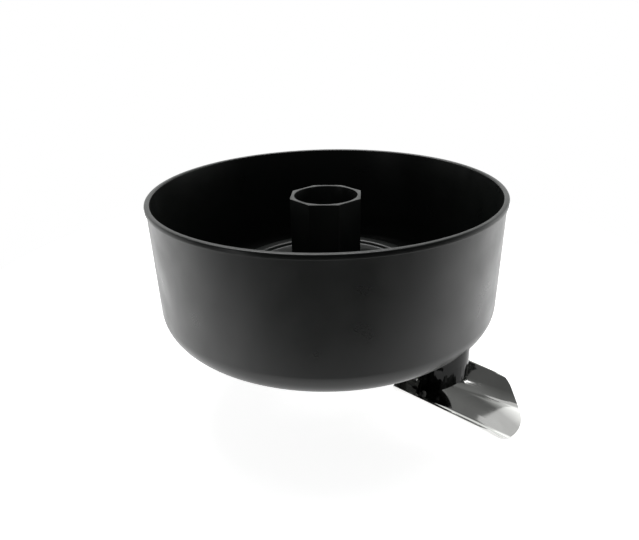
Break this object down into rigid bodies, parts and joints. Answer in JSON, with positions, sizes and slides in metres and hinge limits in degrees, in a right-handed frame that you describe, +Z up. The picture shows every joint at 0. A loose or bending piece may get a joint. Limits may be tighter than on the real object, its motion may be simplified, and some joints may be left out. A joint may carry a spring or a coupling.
{
  "type": "juicer bowl",
  "caption": "Round moulded juice bowl with an octagonal hub, a slanted drain nozzle under its channel, and a polished steel pouring spout that tips up.",
  "frame": {"origin": "on the bowl's axis, level with its underside, at the mouth of the skirt that drops over the motor neck", "axes": "+Z up along the bowl's axis, the spout points to -Y, +X across the spout"},
  "size_m": [0.2, 0.2212, 0.1282],
  "materials": {
    "bowl_plastic": "satin black moulding",
    "nozzle_plastic": "gloss black moulding",
    "spout_steel": "polished stainless sheet",
    "steel_hardware": "plain stainless",
    "insert_brass": "turned brass",
    "bush_nylon": "natural nylon",
    "seal_rubber": "black food-grade rubber"
  },
  "bodies": {
    "bowl": {"bowl_shell": "bowl_plastic", "hub_sleeve": "bowl_plastic", "hub_flange": "bowl_plastic", "hub_gasket": "seal_rubber", "hub_seal": "seal_rubber", "hub_inserts": "insert_brass", "hub_washers": "steel_hardware", "hub_screws": "steel_hardware", "seat_ring": "seal_rubber", "drain_neck": "nozzle_plastic", "drain_nozzle": "nozzle_plastic", "drain_o_ring": "seal_rubber", "pivot_bushes": "bush_nylon"},
    "spout": {"spout_trough": "spout_steel", "spout_bracket": "spout_steel", "pivot_pin": "steel_hardware", "pivot_clip": "steel_hardware", "pivot_washers": "bush_nylon"}
  },
  "joints": [
    {"name": "spout_tilt", "type": "hinge", "parent": "bowl", "child": "spout", "pos_m": [0, -0.0613, -0.027], "axis": [-1, 0, 0], "range_deg": [0, 39]}
  ]
}
